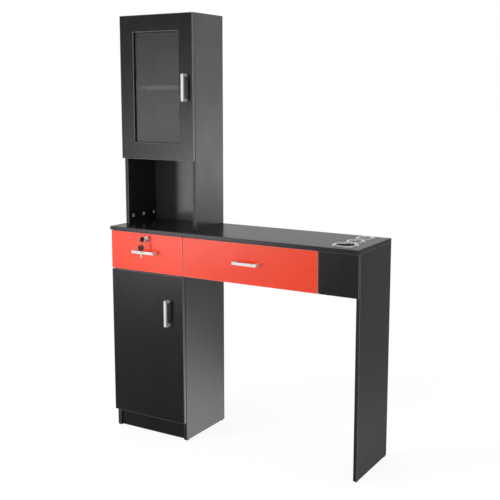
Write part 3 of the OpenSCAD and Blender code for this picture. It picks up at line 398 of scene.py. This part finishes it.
# The floor glides, the glass bead and the bumpers: moulded plastic with a dull, finely eroded skin.
# The glides are black, the bead is grey, and the bumpers are clear.
def plastic(name, deep, pale, roughness, alpha=1.0):
    """A moulded plastic between these two colours."""
    moulded, tree = new_material(name)
    place = add_node(tree, "TexCoord").outputs["Object"]
    grain = noise(tree, place, scale=900.0, detail=2.0)
    surface(tree, {"Base Color": blend(tree, grain, deep, pale), "Roughness": roughness,
                   "Alpha": alpha, "Normal": relief(tree, grain, strength=0.3, distance=0.0001)})
    return moulded


black_plastic = plastic("black plastic", (0.008, 0.008, 0.008), (0.016, 0.016, 0.016), 0.42)
grey_plastic = plastic("grey bead plastic", (0.30, 0.30, 0.31), (0.38, 0.38, 0.39), 0.35)
clear_plastic = plastic("clear bumper plastic", (0.72, 0.74, 0.75), (0.85, 0.87, 0.88), 0.25,
                        alpha=0.6)
paint(ease_edges("floor_glides", fitting_radius, 2), black_plastic)
paint(ease_edges("glass_bead", fitting_radius, 2), grey_plastic)
bumper_radius = 0.0005
paint(ease_edges("bumpers", bumper_radius, 2), clear_plastic)

# The glass: a clear float pane, whose thickness has a faint green tint. Wiping has left streaks on
# it that are only a little duller.
pane, tree = new_material("float glass")
wiped = add_node(tree, "Mapping", {"Vector": add_node(tree, "TexCoord").outputs["Object"],
                                   "Rotation": (0, math.radians(20), 0),
                                   "Scale": (14, 1, 2.5)}).outputs[0]
streaks = noise(tree, wiped, scale=3.0, detail=5.0, roughness=0.6)
surface(tree, {"Base Color": (0.96, 0.98, 0.975, 1), "Transmission Weight": 1.0, "IOR": 1.6,
               "Roughness": mapped(tree, streaks, (0.45, 0.8), (0.0, 0.05))})
paint(frame["nodes"]["upper_door_glass"], pane)


# The tool holders: pressed steel rings with a domed lip that lies on the worktop and a tube that
# hangs through it. The lip is chromed, and the tube below is given a dark steel, a painted shade
# for the inside of the bore. The front one holds a dryer, and the other two hold irons.
def traced(name, corners):
    """A closed line through these corners, drawn point by point and left open in edit mode."""
    bpy.ops.object.select_all(action="DESELECT")
    bpy.ops.mesh.primitive_plane_add(size=0.001, location=corners[0])
    piece = bpy.context.object
    piece.name = piece.data.name = name
    bpy.ops.object.mode_set(mode="EDIT")
    bpy.ops.mesh.select_all(action="SELECT")
    bpy.ops.mesh.merge(type="CENTER")
    for last, corner in zip(corners, corners[1:] + corners[:1]):
        step = Vector(corner) - Vector(last)
        bpy.ops.mesh.extrude_vertices_move(TRANSFORM_OT_translate={"value": step})
    bpy.ops.mesh.select_all(action="SELECT")
    bpy.ops.mesh.remove_doubles(threshold=same_place)
    return piece


def settle(piece, smooth=35):
    """Ends the modelling of a piece: its place goes into its mesh, and faces that meet at less
    than this angle are shaded as one."""
    bpy.ops.object.select_all(action="DESELECT")
    piece.select_set(True)
    bpy.context.view_layer.objects.active = piece
    bpy.ops.object.transform_apply(location=True, rotation=True, scale=True)
    bpy.ops.object.shade_smooth_by_angle(angle=math.radians(smooth))
    return piece


def turned(name, centre, axis, corners):
    """A piece turned on a lathe from the outline through these corners."""
    piece = traced(name, corners)
    bpy.ops.mesh.spin(steps=96, angle=math.tau, center=centre, axis=axis)
    bpy.ops.mesh.select_all(action="SELECT")
    bpy.ops.mesh.remove_doubles(threshold=same_place)
    bpy.ops.mesh.normals_make_consistent(inside=False)
    bpy.ops.object.mode_set(mode="OBJECT")
    return settle(piece, 50)


painted_shade_tube = metal("dull tube steel", (0.15, 0.15, 0.155), (0.09, 0.09, 0.095), 0.4)
bores = {mount["name"]: mount for mount in frame["record"]["mounts"] if mount["kind"] == "bore"}


def tool_holder(name, node, mount):
    """The holder at one of the bores in the worktop's right end."""
    centre = Vector(bores[mount]["pos_m"])
    bore, depth = bores[mount]["dims"]["r_mm"] / 1000, bores[mount]["dims"]["length_mm"] / 1000
    lip, rise, wall, chromed, dome_steps = 0.014, 0.004, 0.0012, 0.004, 14
    dome = [math.pi * step / dome_steps for step in range(dome_steps + 1)]
    outline = [(bore + lip / 2 * (1 + math.cos(turn)), rise * math.sin(turn)) for turn in dome]
    outline += [(bore, -chromed), (bore, -depth), (bore + wall, -depth), (bore + wall, -chromed),
                (bore + wall, 0.0)]
    corners = [tuple(centre + Vector((out, 0, up))) for out, up in outline]
    piece = paint(turned(name, centre, (0, 0, 1), corners), chrome)
    piece.data.materials.append(painted_shade_tube)
    # The faces below the chromed throat take the dark steel, a painted shade for the inside of the bore.
    for face in piece.data.polygons:
        if face.center.z < centre.z - chromed:
            face.material_index = 1
    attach(piece, "carcass")
    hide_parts(node)


tool_holder("front_holder_ring", "front_tool_holder", "front_holder_bore")
tool_holder("middle_holder_ring", "small_tool_holders", "middle_holder_bore")
tool_holder("rear_holder_ring", "small_tool_holders", "rear_holder_bore")

# The bow handles: squared bars cast in zinc, with a satin finish that is brushed along their length.
# Two screws from behind hold each one to its door or drawer front.
bar_radius = 0.0008
for lie, along_bar, nodes in [
        ("level", (0.03, 1, 1), ["left_drawer_handle", "wide_drawer_handle"]),
        ("upright", (1, 1, 0.03), ["upper_door_handle", "base_door_handle"])]:
    satin = metal("satin bar, " + lie, (0.88, 0.88, 0.875), (0.82, 0.82, 0.82), 0.38,
                  marks=along_bar, mark_scale=1400.0, depth=0.00008, spread=0.2, share=0.45)
    for node in nodes:
        paint(ease_edges(node, bar_radius), satin)

# The concealed hinges: plates, arms, links and cups pressed from steel and plated with nickel. The
# cup sits in a bore in the door, and the plate is screwed to the side board.
pressed_radius = 0.0002
for node in ["hinge_plates", "hinge_arms", "upper_hinge_links", "base_hinge_links",
             "upper_hinge_cups", "base_hinge_cups"]:
    paint(ease_edges(node, pressed_radius, 2), nickel_plate)

# The drawer boxes: four walls of thinner board with the carcass's black coat, and a groove round
# them that holds the bottom.
box_radius = 0.0005
for node in ["left_drawer_box", "wide_drawer_box"]:
    paint(ease_edges(node, box_radius), black_standing)

# The ball-bearing runners: three channels a side, rolled from zinc-plated steel, with rows of steel
# balls between them in pressed cages.
for node in ["cabinet_rails", "left_drawer_rails", "left_middle_rails", "wide_drawer_rails",
             "wide_middle_rails", "left_outer_cages", "left_inner_cages", "wide_outer_cages",
             "wide_inner_cages"]:
    paint(frame["nodes"][node], zinc_plate)


# The lock: a chromed rosette and barrel in one casting, pushed through the drawer's front from
# outside and held by a hexagonal nut behind it. A nickel-plated plug with the keyway turns inside.
def rod(name, sides, radius, length, centre, rotation=(0, 0, 0)):
    """A new cylinder, or a prism with few sides."""
    bpy.ops.object.select_all(action="DESELECT")
    bpy.ops.mesh.primitive_cylinder_add(vertices=sides, radius=radius, depth=length,
                                        location=centre, rotation=rotation)
    piece = bpy.context.object
    piece.name = piece.data.name = name
    return piece


def cut(piece, cutter):
    """Takes the cutter's shape out of a piece, and the cutter away."""
    hole = piece.modifiers.new("Cut", "BOOLEAN")
    hole.object = cutter
    hole.solver = "EXACT"
    bpy.context.view_layer.objects.active = piece
    bpy.ops.object.modifier_apply(modifier=hole.name)
    bpy.data.objects.remove(cutter)


def drilled(piece, at, axis, radius):
    """Cuts a round hole right through a piece."""
    turn = Vector(axis).to_track_quat("Z", "Y").to_euler()
    cut(piece, rod("drill", 48, radius, 0.02, at, turn))


def chamfered(piece, width, steps=2):
    """Rounds a new piece's sharp edges."""
    bpy.context.view_layer.objects.active = piece
    eased = piece.modifiers.new("Eased", "BEVEL")
    eased.width = width
    eased.segments = steps
    eased.limit_method = "ANGLE"
    eased.angle_limit = sharp_fold
    bpy.ops.object.modifier_apply(modifier=eased.name)


lock_axis = next(joint["pos_m"] for joint in frame["joints"] if joint["name"] == "lock_turn")
front_face, front_back = [corner.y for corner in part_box("left_drawer_front")]
lock_at = Vector((lock_axis[0], front_face, lock_axis[2]))
# Each corner has its distance from the axis and its height over the drawer's front.
rosette_outline = [(0.0125, 0), (0.0125, 0.0008), (0.0121, 0.0014), (0.0113, 0.0019),
                   (0.0103, 0.0023), (0.0093, 0.0025), (0.0086, 0.0024), (0.0078, 0.0019),
                   (0.0069, 0.0014), (0.0064, 0.0012), (0.00625, 0.0010), (0.00625, -0.021),
                   (0.0095, -0.021), (0.0095, 0)]
rosette = turned("lock_rosette", lock_at, (0, 1, 0),
                 [tuple(lock_at + Vector((out, -proud, 0))) for out, proud in rosette_outline])
paint(rosette, chrome)
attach(rosette, "left_drawer")
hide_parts("lock_body")

nut_thickness = 0.004
nut_at = Vector((lock_at.x, front_back + nut_thickness / 2, lock_at.z))
lock_nut = rod("lock_nut", 6, 0.013, nut_thickness, nut_at, (math.pi / 2, 0, 0))
chamfered(lock_nut, width=0.0006)
drilled(lock_nut, nut_at, (0, 1, 0), radius=0.0097)
paint(settle(lock_nut), zinc_plate)
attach(lock_nut, "left_drawer")
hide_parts("lock_body")
paint(ease_edges("lock_plug", fitting_radius, 2), nickel_plate)

# The keys: a stamped nickel-plated blade with milled grooves and cut notches, and a black plastic
# bow moulded round its end. One is in the lock, and its spare hangs from it on a ring.
bow_centre, ring_hole = Vector((0, -0.026, 0)), Vector((0, -0.0325, 0))
ring_width = 0.024


def select_faces(piece, wanted):
    """Selects the faces of a piece in edit mode for which wanted is true."""
    bpy.ops.mesh.select_all(action="DESELECT")
    shape = bmesh.from_edit_mesh(piece.data)
    for face in shape.faces:
        face.select_set(wanted(face))
    bmesh.update_edit_mesh(piece.data)


def key_blade(name):
    """A blade along the lock's axis, with a groove in each side and notches along its top."""
    half, neck, shoulder, end, tip = 0.0034, 0.0042, -0.0034, -0.0155, 0.0150
    thickness, notch_flat, notch_slope = 0.002, 0.0004, 0.7
    groove, groove_slope, groove_depth = (-0.0011, 0.0004), 0.0001, 0.0003
    point = [(-0.0015, -half), (0.0, -0.001), (0.0, 0.0006), (-0.0016, half)]
    notches = [(0.0005, 0.0012), (0.0041, 0.0019), (0.0077, 0.0009), (0.0113, 0.0015)]
    outline = [(end, -neck), (shoulder, -neck), (shoulder, -half)]
    outline += [(tip + along, up) for along, up in point]
    for place, deep in reversed(notches):
        outline += [(place + notch_flat + notch_slope * deep, half),
                    (place + notch_flat, half - deep), (place - notch_flat, half - deep),
                    (place - notch_flat - notch_slope * deep, half)]
    outline += [(shoulder, half), (shoulder, neck), (end, neck)]
    blade = traced(name, [tuple(lock_at + Vector((-thickness / 2, along, up)))
                          for along, up in outline])
    bpy.ops.mesh.edge_face_add()
    bpy.ops.mesh.extrude_region_move(TRANSFORM_OT_translate={"value": (thickness, 0, 0)})
    bpy.ops.mesh.select_all(action="SELECT")
    bpy.ops.mesh.normals_make_consistent(inside=False)
    for level in groove:
        bpy.ops.mesh.select_all(action="SELECT")
        bpy.ops.mesh.bisect(plane_co=lock_at + Vector((0, 0, level)), plane_no=(0, 0, 1))
    middle = lock_at.z + sum(groove) / 2 - blade.location.z
    reach = (groove[1] - groove[0]) / 2
    select_faces(blade, lambda face: abs(face.normal.x) > 0.9
                 and abs(face.calc_center_bounds().z - middle) < reach)
    bpy.ops.mesh.inset(thickness=groove_slope, depth=-groove_depth)
    bpy.ops.object.mode_set(mode="OBJECT")
    chamfered(blade, width=0.00012, steps=1)
    return paint(settle(blade), nickel_plate)


def key_bow(name):
    """A round bow with a rim, a collar over the blade's neck and a hole for the ring."""
    radius, thickness, hole_radius = 0.0115, 0.003, 0.003
    collar_half, collar_length, collar_taper = 0.0052, 0.005, (0.85, 0, 0.95)
    rim, dish_slope, dish = 0.0011, 0.0004, 0.0005
    bow = rod(name, 72, radius, thickness, lock_at + bow_centre, (0, math.pi / 2, 0))
    bpy.ops.object.transform_apply(location=False, rotation=True, scale=True)
    bpy.ops.object.mode_set(mode="EDIT")
    select_faces(bow, lambda face: face.normal.y > 0.5
                 and abs(face.calc_center_bounds().z) < collar_half)
    bpy.ops.mesh.extrude_region_move(TRANSFORM_OT_translate={"value": (0, collar_length, 0)})
    bpy.ops.transform.resize(value=collar_taper)
    select_faces(bow, lambda face: abs(face.normal.x) > 0.9 and len(face.verts) > 20)
    bpy.ops.mesh.inset(thickness=rim, depth=0)
    bpy.ops.mesh.inset(thickness=dish_slope, depth=-dish)
    bpy.ops.object.mode_set(mode="OBJECT")
    chamfered(bow, width=0.0003)
    drilled(bow, lock_at + ring_hole, (1, 0, 0), hole_radius)
    return paint(settle(bow), black_plastic)


def copied(original):
    """A copy of a piece, with a mesh of its own."""
    piece = original.copy()
    piece.data = original.data.copy()
    bpy.context.scene.collection.objects.link(piece)
    return piece


def hung_spare(original, name):
    """A copy of a key's piece, turned and moved to where the spare key hangs from the ring."""
    piece = copied(original)
    piece.name = piece.data.name = name
    piece.matrix_world = (Matrix.Translation(lock_at + ring_hole - Vector((0, 0, ring_width)))
                          @ Matrix.Rotation(math.radians(135), 4, "Z")
                          @ Matrix.Rotation(-math.pi / 2, 4, "X")
                          @ Matrix.Translation(-ring_hole - lock_at))
    return settle(piece)


lock_key_blade, lock_key_bow = key_blade("lock_key_blade"), key_bow("lock_key_bow")
spare_key_blade = hung_spare(lock_key_blade, "spare_key_blade")
spare_key_bow = hung_spare(lock_key_bow, "spare_key_bow")
for piece, body, node, slot in [(lock_key_blade, "lock", "lock_key", "satin_steel"),
                                (lock_key_bow, "lock", "lock_key", "black_plastic"),
                                (spare_key_blade, "keys", "spare_key", "satin_steel"),
                                (spare_key_bow, "keys", "spare_key", "black_plastic")]:
    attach(piece, body)
    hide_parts(node)
paint(frame["nodes"]["key_ring"], chrome)


# The screws: zinc-plated pan heads with a cross recess. They hold the handles from behind the
# fronts, the hinge plates to the side boards, the arms to the plates, and the cups to the doors.
def pan_screw(name, radius, height):
    """A screw's head at the origin that faces up."""
    crown, rounding, recess_length, recess_width = 0.62, 0.36, 1.25 * radius, 0.22 * radius
    head = rod(name, 36, radius, height, (0, 0, height / 2))
    bpy.ops.object.mode_set(mode="EDIT")
    select_faces(head, lambda face: face.normal.z > 0.9)
    bpy.ops.mesh.extrude_region_move(TRANSFORM_OT_translate={"value": (0, 0, 0)})
    bpy.ops.transform.resize(value=(crown, crown, 1), center_override=(0, 0, height))
    bpy.ops.object.mode_set(mode="OBJECT")
    chamfered(head, width=rounding * height, steps=4)
    for turn in (45, 135):
        bpy.ops.object.select_all(action="DESELECT")
        bpy.ops.mesh.primitive_cube_add(size=1, location=(0, 0, height),
                                        rotation=(0, 0, math.radians(turn)),
                                        scale=(recess_length, recess_width, height))
        cut(head, bpy.context.object)
    return settle(head)


def screwed_in(name, head, body, places, facing):
    """Copies of a screw's head at these places, joined to one piece."""
    turn = Vector(facing).to_track_quat("Z", "Y").to_matrix().to_4x4()
    bpy.ops.object.select_all(action="DESELECT")
    for place in places:
        screw = copied(head)
        screw.matrix_world = Matrix.Translation(place) @ turn
        screw.select_set(True)
        bpy.context.view_layer.objects.active = screw
    bpy.ops.object.join()
    screws = bpy.context.object
    screws.name = screws.data.name = name
    paint(settle(screws), zinc_plate)
    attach(screws, body)


handle_screw = pan_screw("handle_screw", radius=0.004, height=0.0026)
hinge_screw = pan_screw("hinge_screw", radius=0.0033, height=0.0016)
for body, board in [("upper_door", "upper_door_frame"), ("base_door", "base_door_panel"),
                    ("left_drawer", "left_drawer_front"), ("wide_drawer", "wide_drawer_front")]:
    low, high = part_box(body + "_handle")
    size = high - low
    bar_width = min(size.x, size.z)
    reach = Vector((size.x - bar_width, 0, size.z - bar_width)) / 2
    centre = Vector(((low.x + high.x) / 2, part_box(board)[1].y, (low.z + high.z) / 2))
    screwed_in(body + "_handle_screws", handle_screw, body, [centre + reach, centre - reach],
               (0, 1, 0))

cup_x, cup_reach, cup_flange = -0.5295, 0.024, 0.001
plate_x, plate_reach, plate_behind_door = -0.5335, 0.016, 0.039
arm_x = -0.5225
for door, board, heights in [("upper_door", "upper_door_frame", (1.218, 1.6095)),
                             ("base_door", "base_door_panel", (0.167, 0.590))]:
    back_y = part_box(board)[1].y
    plate_y = back_y + plate_behind_door
    screwed_in(door + "_cup_screws", hinge_screw, door,
               [Vector((cup_x, back_y + cup_flange, height + side * cup_reach))
                for height in heights for side in (-1, 1)], (0, 1, 0))
    screwed_in(door + "_plate_screws", hinge_screw, "carcass",
               [Vector((plate_x, plate_y, height + side * plate_reach))
                for height in heights for side in (-1, 1)], (1, 0, 0))
    screwed_in(door + "_arm_screws", handle_screw, "carcass",
               [Vector((arm_x, plate_y, height)) for height in heights], (1, 0, 0))
for head in (handle_screw, hinge_screw):
    bpy.data.objects.remove(head)
